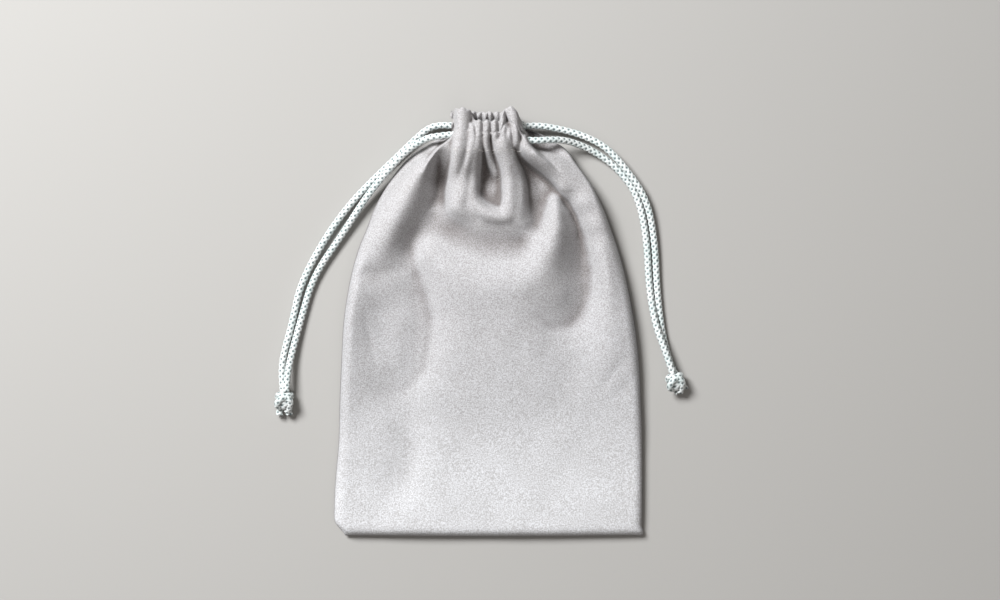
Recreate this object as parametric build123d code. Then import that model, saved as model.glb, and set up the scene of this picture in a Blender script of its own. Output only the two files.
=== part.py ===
from build123d import *
from math import cos, pi, radians, tan
import os

# A drawstring gift pouch lying flat, its neck drawn shut, with a pair of cord tails down each side.
# Millimetres. +X is to the right, +Y runs up to the mouth, +Z is up. The origin is the middle of the
# cloth's footprint, on the surface that the pouch lies on.

# ---- driving dimensions ----
POUCH_LENGTH = 170.0
CLOTH = 0.8                    # one layer of the cloth
CORD_DIAMETER = 2.8
NECK_WIDTH = 29.0              # the gathered casings, side to side
CASING_LENGTH = 19.0           # from the casing's stitches to the top of its frill
CASING_THICKNESS = 6.0         # one gathered casing
MOUTH_GAP = 4.6                # between the two casings

# ---- the cloth's outline and height ----
# Each station: distance up from the bottom edge, half width, height of the front cloth's crown.
BODY_STATIONS = [
    (0.0, 57.6, 4.2),
    (2.5, 60.2, 4.8),
    (7.0, 60.8, 5.6),
    (25.0, 60.4, 7.2),
    (45.0, 59.6, 8.6),
    (65.0, 58.6, 9.8),
    (85.0, 57.2, 10.8),
    (101.0, 54.6, 11.8),
    (115.0, 50.6, 12.8),
    (127.0, 45.6, 13.8),
]
# Above the side seams the front and back cloths part, and the front one is drawn in further.
FRONT_SHOULDER = [(137.0, 36.6, 15.0), (145.0, 27.2, 16.0), (151.0, 17.0, 16.6)]
BACK_SHOULDER = [(137.0, 39.8), (145.0, 34.0), (151.0, 28.4), (156.0, 20.6), (158.0, NECK_WIDTH / 2)]

EDGE_HEIGHT = 3.6              # four layers of cloth at the side seams
EDGE_WALL = 1.4                # the front cloth where it turns down at its sides

# ---- the casings ----
CASING_BOTTOM_Y = POUCH_LENGTH / 2 - CASING_LENGTH
FRONT_CASING_Z = CASING_THICKNESS + MOUTH_GAP
CHANNEL_CLEARANCE = 0.3        # all round the cords
CORD_PITCH = 3.6               # between the two cords that share a channel
FRONT_CHANNEL_Y = 72.4
BACK_CHANNEL_Y = 76.3
POCKET_START_X = 5.2           # beyond it each casing is open to the mouth, for the cord's bight
POCKET_REACH = 1.6             # the bight leans from one channel's height to the other's

# ---- the drawcords inside the casings ----
BIGHT_X = 13.5
BIGHT_RADIUS = 4.0
STUB_X = 16.0                  # the loop ends just outside the casing
TAIL_X = 19.0                  # and the tail starts past a gap that leaves it room to swing

# ---- seams and stitches ----
SEAM_ALLOWANCE = 4.5
SEAM_CLEARANCE = 0.2
SEAM_TOP_Y = 40.0
STITCH_LENGTH = 2.0
STITCH_PITCH = 2.6
STITCH_WIDTH = 0.4
STITCH_HEIGHT = 0.25
CASING_STITCH_INSET = 1.2      # from the casing's lower edge

# ---- knots ----
KNOT_RADIUS = 4.0
LEFT_KNOT = (-80.2, -31.2)
RIGHT_KNOT = (73.6, -24.0)
LEFT_KNOT_HALF_LENGTH = 4.5
RIGHT_KNOT_HALF_LENGTH = 4.1
CORD_END_LENGTH = 4.6

cord_radius = CORD_DIAMETER / 2
front_channel_z = FRONT_CASING_Z + CASING_THICKNESS / 2
back_channel_z = CASING_THICKNESS / 2
bottom_y = -POUCH_LENGTH / 2

# The left drawcord lies in the upper place of each channel, and the right one in the lower place.
left_front_y = FRONT_CHANNEL_Y + CORD_PITCH / 2
left_back_y = BACK_CHANNEL_Y + CORD_PITCH / 2
right_front_y = FRONT_CHANNEL_Y - CORD_PITCH / 2
right_back_y = BACK_CHANNEL_Y - CORD_PITCH / 2

# ---- the four tails' routes, from the casing to the knot ----
LEFT_FRONT_ROUTE = [
    (-TAIL_X, left_front_y, front_channel_z),
    (-23.4, 73.4, 12.6),
    (-28.4, 70.4, 9.0),
    (-34.2, 65.2, 5.6),
    (-40.6, 57.8, 4.8),
    (-48.3, 48.2, 3.6),
    (-57.6, 33.8, 1.8),
    (-69.0, 17.4, 1.6),
    (-73.6, 1.6, 1.6),
    (-77.6, -13.4, 2.6),
    (-79.2, -22.0, 4.8),
    (-79.5, -28.2, 5.6),
]
LEFT_BACK_ROUTE = [
    (-TAIL_X, left_back_y, back_channel_z),
    (-23.6, 77.2, 2.8),
    (-29.0, 73.0, 2.1),
    (-35.8, 66.4, 1.6),
    (-44.2, 57.6, 1.5),
    (-54.4, 46.6, 1.6),
    (-64.4, 32.6, 1.5),
    (-74.4, 14.0, 1.5),
    (-77.4, -1.0, 1.5),
    (-81.2, -14.6, 1.7),
    (-81.6, -22.4, 2.2),
    (-80.9, -28.2, 2.5),
]
RIGHT_FRONT_ROUTE = [
    (TAIL_X, right_front_y, front_channel_z),
    (23.8, 71.3, 12.6),
    (29.4, 71.5, 8.6),
    (36.0, 70.0, 4.4),
    (43.4, 66.4, 2.0),
    (51.6, 59.6, 1.5),
    (59.2, 49.0, 1.5),
    (62.6, 32.0, 1.5),
    (63.4, 13.0, 1.6),
    (65.8, -2.0, 3.6),
    (69.6, -12.0, 4.9),
    (72.6, -21.2, 5.4),
]
RIGHT_BACK_ROUTE = [
    (TAIL_X, right_back_y, back_channel_z),
    (24.0, 75.8, 2.9),
    (31.0, 75.4, 3.0),
    (38.8, 73.2, 3.2),
    (46.6, 69.2, 3.6),
    (54.4, 60.4, 4.0),
    (62.6, 48.0, 3.2),
    (65.8, 31.0, 1.8),
    (66.6, 12.0, 1.5),
    (68.4, -4.0, 1.5),
    (70.6, -13.0, 1.7),
    (73.2, -21.6, 2.6),
]


def save(part, node):
    part.label = node
    export_step(part, f"parts/{node}.step")


def section(station_y, half_width, base, edge, crown):
    """A dome's outline across the pouch: a flat base, two upright edges and an arched top."""
    low_left = Vector(-half_width, station_y, base)
    high_left = Vector(-half_width, station_y, edge)
    high_right = Vector(half_width, station_y, edge)
    low_right = Vector(half_width, station_y, base)
    top = ThreePointArc(high_left, Vector(0, station_y, crown), high_right)
    edges = [Line(low_left, high_left), top, Line(high_right, low_right), Line(low_right, low_left)]
    return Face(Wire(edges))


def front_panel():
    """The front cloth: a domed shell, open underneath and at the neck."""
    stations = BODY_STATIONS + FRONT_SHOULDER
    outside = []
    hollow = []
    for distance, half_width, crown in stations:
        y = bottom_y + distance
        outside.append(section(y, half_width, CLOTH, EDGE_HEIGHT, crown))
        hollow_y = y
        if distance == 0.0:
            hollow_y = y + CLOTH
        if distance == stations[-1][0]:
            hollow_y = y + CLOTH
        hollow.append(section(hollow_y, half_width - EDGE_WALL, 0.0, EDGE_HEIGHT - CLOTH, crown - CLOTH))
    return loft(outside, ruled=True) - loft(hollow, ruled=True)


def back_panel():
    """The back cloth: a flat sheet cut to the outline, with a notch at the top for its casing."""
    right_edge = [(half_width, bottom_y + distance) for distance, half_width, _ in BODY_STATIONS]
    right_edge += [(half_width, bottom_y + distance) for distance, half_width in BACK_SHOULDER]
    right_edge += [(NECK_WIDTH / 2, CASING_BOTTOM_Y)]
    left_edge = [(-x, y) for x, y in reversed(right_edge)]
    return extrude(make_face(Polyline(*right_edge, *left_edge, close=True)), CLOTH)


def casing(low_z, channel_y, mouth_side, pocket_low_y, pocket_high_y):
    """A gathered hem with one flat channel through it, open towards the mouth near both sides."""
    high_z = low_z + CASING_THICKNESS
    middle = Vector(0, CASING_BOTTOM_Y + CASING_LENGTH / 2, (low_z + high_z) / 2)
    block = Pos(middle) * Box(NECK_WIDTH, CASING_LENGTH, CASING_THICKNESS)
    channel_height = CORD_DIAMETER + 2 * CHANNEL_CLEARANCE
    channel_width = CORD_PITCH + channel_height
    slot = Plane.YZ * SlotOverall(channel_width, channel_height)
    channel = Pos(0, channel_y, middle.Z) * extrude(slot, NECK_WIDTH, both=True)
    pocket_width = NECK_WIDTH / 2 - POCKET_START_X + 1.0
    pocket_depth = CASING_THICKNESS
    pocket_z = middle.Z + mouth_side * (pocket_depth - channel_height) / 2
    pocket_y = (pocket_low_y + pocket_high_y) / 2
    result = block - channel
    for side in (-1, 1):
        pocket_x = side * (POCKET_START_X + pocket_width / 2)
        pocket = Box(pocket_width, pocket_high_y - pocket_low_y, pocket_depth)
        result -= Pos(pocket_x, pocket_y, pocket_z) * pocket
    return result


def cord_tube(points, radii):
    """A round cord along straight runs joined by arcs."""
    path = FilletPolyline(*points, radius=radii)
    profile = Plane(origin=path @ 0, z_dir=path % 0) * Circle(cord_radius)
    return sweep(profile, path=path), path


def tail_strand(node, points):
    """One tail of a drawcord. Each arc is as large as the two runs beside it allow."""
    corners = [Vector(*point) for point in points]
    radii = []
    for before, here, after in zip(corners, corners[1:], corners[2:]):
        run_in = here - before
        run_out = after - here
        half_turn = radians(run_in.get_angle(run_out)) / 2
        radii.append(0.45 * min(run_in.length, run_out.length) / tan(half_turn))
    tube, path = cord_tube(points, radii)
    ratio = tube.volume / (pi * cord_radius ** 2 * path.length)
    print(node, "length", round(path.length, 1), "volume ratio", round(ratio, 4))
    print("  radii", [round(radius, 1) for radius in radii])
    save(tube, node)


def drawcord_loop(exit_side, front_y, back_y):
    """The drawcord inside the casings: in through one, round a bight at the far side, out of the other."""
    bight_x = -exit_side * BIGHT_X
    stub_x = exit_side * STUB_X
    points = [
        (stub_x, front_y, front_channel_z),
        (bight_x, front_y, front_channel_z),
        (bight_x, back_y, back_channel_z),
        (stub_x, back_y, back_channel_z),
    ]
    tube, _ = cord_tube(points, [BIGHT_RADIUS, BIGHT_RADIUS])
    return tube


def knot(centre, half_length):
    """An overhand knot's outer shape, standing on the table."""
    half_outline = EllipticalCenterArc((0, 0), KNOT_RADIUS, half_length, start_angle=-90, arc_size=180)
    face = make_face([half_outline, Line(half_outline @ 1, half_outline @ 0)])
    return Pos(centre[0], centre[1], KNOT_RADIUS) * revolve(face, axis=Axis.Y)


def cord_ends(starts, direction):
    """The two cut ends that stand out of a knot."""
    stubs = []
    for start in starts:
        stubs.append(extrude(Plane(origin=start, z_dir=direction) * Circle(cord_radius), CORD_END_LENGTH))
    return Compound(children=stubs)


def stitch_row(start, end, z):
    """A row of single stitches lying on a cloth face, from one point to the other."""
    line = Line(start, end)
    count = int(line.length // STITCH_PITCH)
    heading = (Vector(*end) - Vector(*start)).get_signed_angle(Vector(1, 0, 0))
    stitches = []
    for index in range(count):
        place = line @ ((index + 0.5) / count)
        stitch = Rot(0, 0, -heading) * Box(STITCH_LENGTH, STITCH_WIDTH, STITCH_HEIGHT)
        stitches.append(Pos(place.X, place.Y, z + STITCH_HEIGHT / 2) * stitch)
    return stitches


def half_width_at(y):
    """The cloth's half width at a height up the body, between its two nearest stations."""
    distance = y - bottom_y
    for (low, low_width, _), (high, high_width, _) in zip(BODY_STATIONS, BODY_STATIONS[1:]):
        if low <= distance <= high:
            return low_width + (high_width - low_width) * (distance - low) / (high - low)


def side_seam_line(inset):
    """Points up the right side seam, a stated distance inside the cloth's outline."""
    start_y = bottom_y + CLOTH + 2 * SEAM_CLEARANCE + SEAM_ALLOWANCE
    heights = [bottom_y + distance for distance, _, _ in BODY_STATIONS]
    heights = [start_y] + [y for y in heights if start_y < y < SEAM_TOP_Y] + [SEAM_TOP_Y]
    return [(half_width_at(y) - inset, y) for y in heights]


def side_seam(side):
    """The turned-in edges of both cloths along one side: a flat strip, two layers thick."""
    outer = side_seam_line(EDGE_WALL + SEAM_CLEARANCE)
    inner = side_seam_line(EDGE_WALL + SEAM_CLEARANCE + SEAM_ALLOWANCE)
    outline = [(side * x, y) for x, y in outer + inner[::-1]]
    return Pos(0, 0, CLOTH) * extrude(make_face(Polyline(*outline, close=True)), 2 * CLOTH)


def side_seam_thread(side):
    line = side_seam_line(EDGE_WALL + SEAM_CLEARANCE + 1.0)
    stitches = []
    for start, end in zip(line, line[1:]):
        stitches += stitch_row((side * start[0], start[1]), (side * end[0], end[1]), 3 * CLOTH)
    return Compound(children=stitches)


def bottom_seam():
    half_width = BODY_STATIONS[0][1] - EDGE_WALL - SEAM_CLEARANCE
    middle_y = bottom_y + CLOTH + SEAM_CLEARANCE + SEAM_ALLOWANCE / 2
    return Pos(0, middle_y, 2 * CLOTH) * Box(2 * half_width, SEAM_ALLOWANCE, 2 * CLOTH)


def bottom_seam_thread():
    half_width = BODY_STATIONS[0][1] - EDGE_WALL - SEAM_CLEARANCE
    y = bottom_y + CLOTH + SEAM_CLEARANCE + 1.0
    return Compound(children=stitch_row((-half_width, y), (half_width, y), 3 * CLOTH))


def casing_stitches(z):
    y = CASING_BOTTOM_Y + CASING_STITCH_INSET
    return Compound(children=stitch_row((-NECK_WIDTH / 2, y), (NECK_WIDTH / 2, y), z))


os.makedirs("parts", exist_ok=True)

save(front_panel(), "front_panel")
save(back_panel(), "back_panel")

channel_half = CORD_PITCH / 2 + cord_radius + CHANNEL_CLEARANCE
front_pocket = (FRONT_CHANNEL_Y - channel_half, FRONT_CHANNEL_Y + channel_half + POCKET_REACH)
back_pocket = (BACK_CHANNEL_Y - channel_half - POCKET_REACH, BACK_CHANNEL_Y + channel_half)
save(casing(FRONT_CASING_Z, FRONT_CHANNEL_Y, -1, *front_pocket), "front_casing")
save(casing(0.0, BACK_CHANNEL_Y, 1, *back_pocket), "back_casing")
save(casing_stitches(FRONT_CASING_Z + CASING_THICKNESS), "front_casing_stitches")
save(casing_stitches(CASING_THICKNESS), "back_casing_stitches")

for side, name in ((-1, "left"), (1, "right")):
    save(side_seam(side), f"{name}_seam_allowance")
    save(side_seam_thread(side), f"{name}_seam_thread")
save(bottom_seam(), "bottom_seam_allowance")
save(bottom_seam_thread(), "bottom_seam_thread")

save(drawcord_loop(-1, left_front_y, left_back_y), "left_drawcord_loop")
save(drawcord_loop(1, right_front_y, right_back_y), "right_drawcord_loop")

tail_strand("left_front_strand", LEFT_FRONT_ROUTE)
tail_strand("left_back_strand", LEFT_BACK_ROUTE)
tail_strand("right_front_strand", RIGHT_FRONT_ROUTE)
tail_strand("right_back_strand", RIGHT_BACK_ROUTE)

save(knot(LEFT_KNOT, LEFT_KNOT_HALF_LENGTH), "left_knot")
save(knot(RIGHT_KNOT, RIGHT_KNOT_HALF_LENGTH), "right_knot")
save(cord_ends([(-82.0, -33.0, 2.2), (-78.8, -33.2, 2.4)], (-0.1, -1, 0)), "left_cord_ends")
save(cord_ends([(73.4, -24.6, 2.0), (76.0, -22.8, 2.4)], (0.35, -1, 0)), "right_cord_ends")
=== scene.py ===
"""A drawstring gift pouch of grey velour, lying flat with its neck drawn shut.

All the shapes below are written in millimetres and turned into metres when a mesh is made.
+X is to the right, +Y runs up to the mouth and +Z is up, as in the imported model.
"""

import math

import bpy
import numpy as np
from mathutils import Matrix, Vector


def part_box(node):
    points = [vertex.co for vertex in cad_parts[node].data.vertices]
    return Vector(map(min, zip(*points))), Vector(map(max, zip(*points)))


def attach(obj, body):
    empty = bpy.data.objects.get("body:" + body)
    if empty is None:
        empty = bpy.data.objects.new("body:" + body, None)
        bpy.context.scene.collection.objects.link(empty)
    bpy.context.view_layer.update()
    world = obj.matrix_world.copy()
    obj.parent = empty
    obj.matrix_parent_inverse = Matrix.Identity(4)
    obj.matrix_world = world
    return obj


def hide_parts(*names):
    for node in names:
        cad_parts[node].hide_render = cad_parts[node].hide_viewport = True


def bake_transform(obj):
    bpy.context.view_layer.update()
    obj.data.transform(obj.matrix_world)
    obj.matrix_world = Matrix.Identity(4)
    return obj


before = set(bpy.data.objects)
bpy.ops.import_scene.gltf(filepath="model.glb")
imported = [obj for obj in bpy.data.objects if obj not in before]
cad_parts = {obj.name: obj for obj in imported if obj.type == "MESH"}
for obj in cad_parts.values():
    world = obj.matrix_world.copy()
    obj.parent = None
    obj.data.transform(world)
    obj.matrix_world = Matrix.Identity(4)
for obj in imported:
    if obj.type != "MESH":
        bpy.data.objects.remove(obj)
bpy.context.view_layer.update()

MM = 0.001

# ---- sizes read from the frame, in millimetres ----
CASING_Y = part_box("front_casing")[0][1] / MM
BOTTOM_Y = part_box("front_panel")[0][1] / MM

# ---- cloth ----
CLOTH_THICKNESS = 0.8
SEAM_HEIGHT = 1.9              # where the two cloths meet along the sides
LOWEST_FRONT = 2.3             # the front cloth's upper face, where it rests on the back cloth
LEFT_EDGE_ROUND = 5.0          # how far in the puffed edges reach their full height
RIGHT_EDGE_ROUND = 3.8
BOTTOM_EDGE_ROUND = 3.6
NECK_EDGE_NARROWING = 0.62     # the share of that width which is lost beside the neck
PLATE_EASE = 5.0               # how far the cloth may miss the heights it is given, to bend more softly
PLATE_SPACING = 5              # from one known height to the next along a line
PLEAT_FULLNESS = 0.46          # a narrow pleat's section: 1 is a parabola, 0.5 a half circle
PLEAT_FULLNESS_MOST = 1.7      # a wide one's
PLEAT_SHARPNESS = 6            # how crisply two pleats meet
CASING_RISE = 7.5              # how far the gathered casing stands over the cloth beside it
CASING_FOOT = 7.0              # how far its two sides stand over the side seams
SOFTENING = 5                  # smoothing passes over the cloth's grid
# the two fold sizes below set where shade is painted into the cloth's colour
HOLLOW_NEAR = (5, 0.8)         # a small fold: reach in grid points, and the depth that counts as deep
HOLLOW_FAR = (16, 2.6)         # a large one

# ---- the cloths' grids: rows lie closer above NECK_Y, then go over the top edge and down inside ----
FRONT_COLUMNS = 300
FRONT_ROWS = 340
FRONT_LOWER_SHARE = 0.72
FRONT_TOP_Y = 80.0
BACK_COLUMNS = 200
BACK_ROWS = 230
BACK_LOWER_SHARE = 0.66
BACK_TOP_Y = 80.1
NECK_Y = 50.0
FOLD_ROWS = 8
HEM_ROWS = 16
TOP_CURL = 1.3                 # how far a hem's fold stands beyond the last row below it
FRILL_Y = 76.4                 # the front casing's top row, between its two humps
FRONT_HEM_Z = 8.4
BACK_HEM_Z = 7.6
BACK_HEM_INNER_Z = 5.4
BACK_Z = 0.05                  # the back cloth's lower face
BACK_INSET = 0.6               # how far its sides lie inside the front cloth's

# ---- stitches across the casing ----
STITCH_COUNT = 11
STITCH_SPAN = 27.0
STITCH_LENGTH = 1.9
STITCH_RADIUS = 0.19
STITCH_SUNK = 0.15             # how deep a stitch lies in the nap
STITCH_DIP = 0.7               # how deep its two ends go into the cloth
FIBRE_RADIUS = 0.045
FIBRE_STEP = 0.34

# ---- cords ----
CORD_DIAMETER = 2.8
CORD_RADIUS = CORD_DIAMETER / 2
BRAID_PITCH = 2.3              # along the cord, from one stitch to the next
BRAID_COLUMNS = 6              # stitches round the cord
BRAID_RELIEF = 0.30
UNDER_SHARE = 0.28             # how much lower a yarn lies where it passes under another
KNOT_CORD_RADIUS = 1.32
END_RADIUS = 1.25              # a cut end, which flares by END_FLARE
END_FLARE = 0.3
RING_POINTS = 32
RING_SPACING = 0.21


# ======== Camera, floor and light ========

def linked(name, data):
    """A new object in the scene that shows the data."""
    thing = bpy.data.objects.new(name, data)
    bpy.context.collection.objects.link(thing)
    return thing


def make_camera():
    """Straight above the pouch, a little up and to the right of its middle."""
    data = bpy.data.cameras.new("camera")
    data.sensor_width = 36.0
    data.lens = 68.2
    camera = linked("camera", data)
    camera.location = (0.0046, 0.0079, 0.750)
    bpy.context.scene.camera = camera


def make_light(name, location, target, size, power, colour):
    """A soft round lamp at a place, facing its target."""
    data = bpy.data.lights.new(name, "AREA")
    data.shape = "DISK"
    data.size = size
    data.energy = power
    data.color = colour
    light = linked(name, data)
    light.location = location
    direction = Vector(target) - light.location
    light.rotation_euler = direction.to_track_quat("-Z", "Y").to_euler()


def make_world():
    """Faint even light from all round."""
    world = bpy.data.worlds.new("studio")
    world.use_nodes = True
    background = world.node_tree.nodes["Background"]
    background.inputs["Color"].default_value = (1.0, 0.96, 0.93, 1.0)
    background.inputs["Strength"].default_value = 0.20
    bpy.context.scene.world = world


def make_floor():
    """The plain pale surface that the pouch lies on."""
    mesh = bpy.data.meshes.new("floor")
    half = 1.5
    corners = [(-half, -half, 0), (half, -half, 0), (half, half, 0), (-half, half, 0)]
    mesh.from_pydata(corners, [], [(0, 1, 2, 3)])
    floor = linked("floor", mesh)
    floor.data.materials.append(floor_material())


# ======== Materials ========

class Nodes:
    """Short names for making and joining a material's nodes."""

    def __init__(self, name):
        self.material = bpy.data.materials.new(name)
        self.material.use_nodes = True
        self.tree = self.material.node_tree
        self.shader = self.tree.nodes["Principled BSDF"]

    def add(self, kind, **settings):
        node = self.tree.nodes.new(kind)
        for key, value in settings.items():
            setattr(node, key, value)
        return node

    def join(self, source, target):
        self.tree.links.new(source, target)

    def noise(self, coordinates, scale, detail=2.0, roughness=0.5):
        node = self.add("ShaderNodeTexNoise")
        node.inputs["Scale"].default_value = scale
        node.inputs["Detail"].default_value = detail
        node.inputs["Roughness"].default_value = roughness
        self.join(coordinates, node.inputs["Vector"])
        return node.outputs["Fac"]

    def ramp(self, source, stops):
        node = self.add("ShaderNodeValToRGB")
        ramp = node.color_ramp
        ramp.elements[0].position, ramp.elements[0].color = stops[0]
        ramp.elements[1].position, ramp.elements[1].color = stops[-1]
        for position, colour in stops[1:-1]:
            ramp.elements.new(position).color = colour
        self.join(source, node.inputs["Fac"])
        return node.outputs["Color"]

    def mix(self, factor, first, second, blend="MIX"):
        node = self.add("ShaderNodeMix", data_type="RGBA", blend_type=blend)
        for value, socket in ((factor, node.inputs[0]), (first, node.inputs[6]), (second, node.inputs[7])):
            if hasattr(value, "is_output"):
                self.join(value, socket)
            else:
                socket.default_value = value
        return node.outputs[2]

    def bump(self, height, strength, distance, normal=None):
        node = self.add("ShaderNodeBump")
        node.inputs["Strength"].default_value = strength
        node.inputs["Distance"].default_value = distance
        self.join(height, node.inputs["Height"])
        if normal is not None:
            self.join(normal, node.inputs["Normal"])
        return node.outputs["Normal"]

    def set(self, name, value):
        socket = self.shader.inputs[name]
        if hasattr(value, "is_output"):
            self.join(value, socket)
        else:
            socket.default_value = value


def floor_material():
    """Matt, pale and plain."""
    nodes = Nodes("pale_floor")
    nodes.set("Base Color", (0.34, 0.33, 0.315, 1))
    nodes.set("Roughness", 0.85)
    return nodes.material


def velour_material(name, light, dark):
    """Short nap: fine fibre tips over darker gaps, with a soft sheen.

    It is paler towards the pouch's bottom, and has shade painted darker where it lies in a fold.
    """
    nodes = Nodes(name)
    place = nodes.add("ShaderNodeTexCoord").outputs["Object"]
    patches = nodes.noise(place, 60.0, 4.0, 0.6)
    speckle = nodes.noise(place, 2050.0, 3.0, 0.75)
    fibres = nodes.noise(place, 5200.0, 2.0, 0.6)
    tips = nodes.ramp(speckle, [(0.42, (*dark, 1)), (0.58, (*light, 1))])
    shade = nodes.ramp(patches, [(0.30, (0.93, 0.925, 0.92, 1)), (0.70, (1, 1, 1, 1))])
    # the colour is paler towards the pouch's bottom, going by the height along Y
    split = nodes.add("ShaderNodeSeparateXYZ")
    nodes.join(place, split.inputs[0])
    height = nodes.add("ShaderNodeMapRange")
    height.inputs["From Min"].default_value = -0.075
    height.inputs["From Max"].default_value = 0.08
    nodes.join(split.outputs["Y"], height.inputs["Value"])
    paler_below = nodes.ramp(height.outputs["Result"], [
        (0.06, (1, 1, 1, 1)), (0.26, (0.82, 0.815, 0.815, 1)),
        (0.5, (0.77, 0.76, 0.76, 1)), (1.0, (0.74, 0.72, 0.71, 1)),
    ])
    # painted shade: the colour darkens with how deep the cloth lies in a fold
    hollow = nodes.add("ShaderNodeAttribute", attribute_name="hollow").outputs["Fac"]
    painted_fold_shade = nodes.ramp(hollow, [(0.0, (1, 1, 1, 1)), (1.0, (0.40, 0.37, 0.355, 1))])
    colour = nodes.mix(1.0, nodes.mix(1.0, tips, shade, "MULTIPLY"), paler_below, "MULTIPLY")
    colour = nodes.mix(1.0, colour, painted_fold_shade, "MULTIPLY")
    nodes.set("Base Color", colour)
    nodes.set("Roughness", 0.95)
    nodes.set("Specular IOR Level", 0.1)
    nodes.set("Sheen Weight", 0.2)
    nodes.set("Sheen Roughness", 0.5)
    nodes.set("Sheen Tint", (0.96, 0.98, 1.0, 1))
    coarse = nodes.bump(speckle, 0.6, 0.0004)
    nodes.set("Normal", nodes.bump(fibres, 0.5, 0.0003, coarse))
    return nodes.material


def cord_material():
    """White knitted cord: shiny filaments, with shade painted dark into the gaps between the stitches."""
    nodes = Nodes("cord")
    gap = nodes.add("ShaderNodeAttribute", attribute_name="gap").outputs["Fac"]
    place = nodes.add("ShaderNodeTexCoord").outputs["Object"]
    tint = nodes.noise(place, 160.0, 2.0)
    filaments = nodes.noise(place, 5200.0, 2.0, 0.6)
    white = nodes.ramp(tint, [(0.35, (0.55, 0.61, 0.60, 1)), (0.65, (0.66, 0.68, 0.67, 1))])
    # painted shade: the gaps between stitches and inside the cut ends are coloured near black
    nodes.set("Base Color", nodes.mix(gap, white, (0.07, 0.10, 0.105, 1)))
    nodes.set("Roughness", 0.55)
    nodes.set("Sheen Weight", 0.1)
    nodes.set("Normal", nodes.bump(filaments, 0.3, 0.0002))
    return nodes.material


def thread_material():
    """Twisted thread, close to the cloth in colour."""
    nodes = Nodes("thread")
    place = nodes.add("ShaderNodeTexCoord").outputs["Object"]
    twist = nodes.noise(place, 3000.0, 2.0)
    nodes.set("Base Color", nodes.ramp(twist, [(0.3, (0.42, 0.40, 0.38, 1)), (0.7, (0.62, 0.60, 0.58, 1))]))
    nodes.set("Roughness", 0.6)
    nodes.set("Normal", nodes.bump(twist, 0.4, 0.0001))
    return nodes.material


# ======== Lines and strokes ========

def smooth_line(nodes, steps):
    """Points along a smooth line through all the nodes, whatever each node holds."""
    nodes = np.array(nodes, float)
    padded = np.vstack([2 * nodes[0] - nodes[1], nodes, 2 * nodes[-1] - nodes[-2]])
    line = []
    for a, b, c, d in zip(padded, padded[1:], padded[2:], padded[3:]):
        for step in range(steps):
            t = step / steps
            line.append(0.5 * (2 * b + (c - a) * t + (2 * a - 5 * b + 4 * c - d) * t * t
                               + (3 * b - a - 3 * c + d) * t ** 3))
    line.append(nodes[-1])
    return np.array(line)


def edge_at(y, nodes):
    """The x of an edge at each y, from (y, x) nodes listed upwards."""
    line = smooth_line(nodes, 8)
    return np.interp(y, line[:, 0], line[:, 1])


def ease(value, low, high):
    """0 below low, 1 above high, and smooth between them."""
    t = np.clip((value - low) / (high - low), 0, 1)
    return t * t * (3 - 2 * t)


def near_stroke(x, y, nodes):
    """For every point: how far the stroke is, and the stroke's height and width on that side.

    A node is (x, y, height, width on the left, width on the right) as one walks along the nodes.
    """
    path = smooth_line(nodes, 3)
    nearest = np.full(x.shape, np.inf)
    total = np.zeros(x.shape)
    height = np.zeros(x.shape)
    width = np.zeros(x.shape)
    for start, end in zip(path, path[1:]):
        run = end[:2] - start[:2]
        east = x - start[0]
        north = y - start[1]
        t = np.clip((east * run[0] + north * run[1]) / (run @ run), 0, 1)
        gap = np.hypot(east - t * run[0], north - t * run[1])
        on_left = run[0] * north > run[1] * east
        here = start[2:, None, None] + t * (end[2:] - start[2:])[:, None, None]
        square = (gap + 0.3) ** 2
        weight = 1 / (square * square * square)
        total += weight
        height += weight * here[0]
        width += weight * np.where(on_left, here[1], here[2])
        nearest = np.minimum(nearest, gap)
    return nearest, height / total, width / total


def pleats(x, y, strokes):
    """Rounded ridges side by side, with sharp creases where they meet."""
    total = np.zeros(x.shape)
    for nodes in strokes:
        gap, height, width = near_stroke(x, y, nodes)
        fullness = np.clip(PLEAT_FULLNESS + 0.13 * (width - 2.5), PLEAT_FULLNESS, PLEAT_FULLNESS_MOST)
        roof = np.maximum(height, 0) * np.clip(1 - (gap / width) ** 2, 0, 1) ** fullness
        total += roof ** PLEAT_SHARPNESS
    return total ** (1 / PLEAT_SHARPNESS)


def smooth_land(x, y, lines):
    """A thin bending plate's height everywhere, from lines of known heights."""
    stops = []
    for line in lines:
        nodes = np.array(line, float)
        for start, end in zip(nodes, nodes[1:]):
            count = max(1, int(np.hypot(*(end - start)[:2]) // PLATE_SPACING))
            stops += [start + (end - start) * step / count for step in range(count)]
        stops.append(nodes[-1])
    stops = np.array(stops)

    def plate(east, north):
        square = east ** 2 + north ** 2
        return square * np.log(square + 1e-6)

    count = len(stops)
    known = np.zeros((count + 3, count + 3))
    known[:count, :count] = plate(stops[:, 0, None] - stops[:, 0], stops[:, 1, None] - stops[:, 1])
    known[:count, :count] += np.eye(count) * PLATE_EASE
    known[:count, count:] = np.column_stack([np.ones(count), stops[:, 0], stops[:, 1]])
    known[count:, :count] = known[:count, count:].T
    weights = np.linalg.solve(known, np.append(stops[:, 2], [0, 0, 0]))
    height = weights[count] + weights[count + 1] * x + weights[count + 2] * y
    for stop, weight in zip(stops, weights):
        height += weight * plate(x - stop[0], y - stop[1])
    return height


def creases(x, y, strokes):
    """Valleys with a crisp floor and sides that ease out, summed."""
    total = np.zeros(x.shape)
    for nodes in strokes:
        gap, height, width = near_stroke(x, y, nodes)
        total += height * np.exp(-1.5 * (np.sqrt((gap / width) ** 2 + 0.02) - 0.14))
    return total


# ======== The pouch's shape ========

# The two cloths' edges, and the gathered casing's sides inside the front one, as (y, x) upwards.

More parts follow.
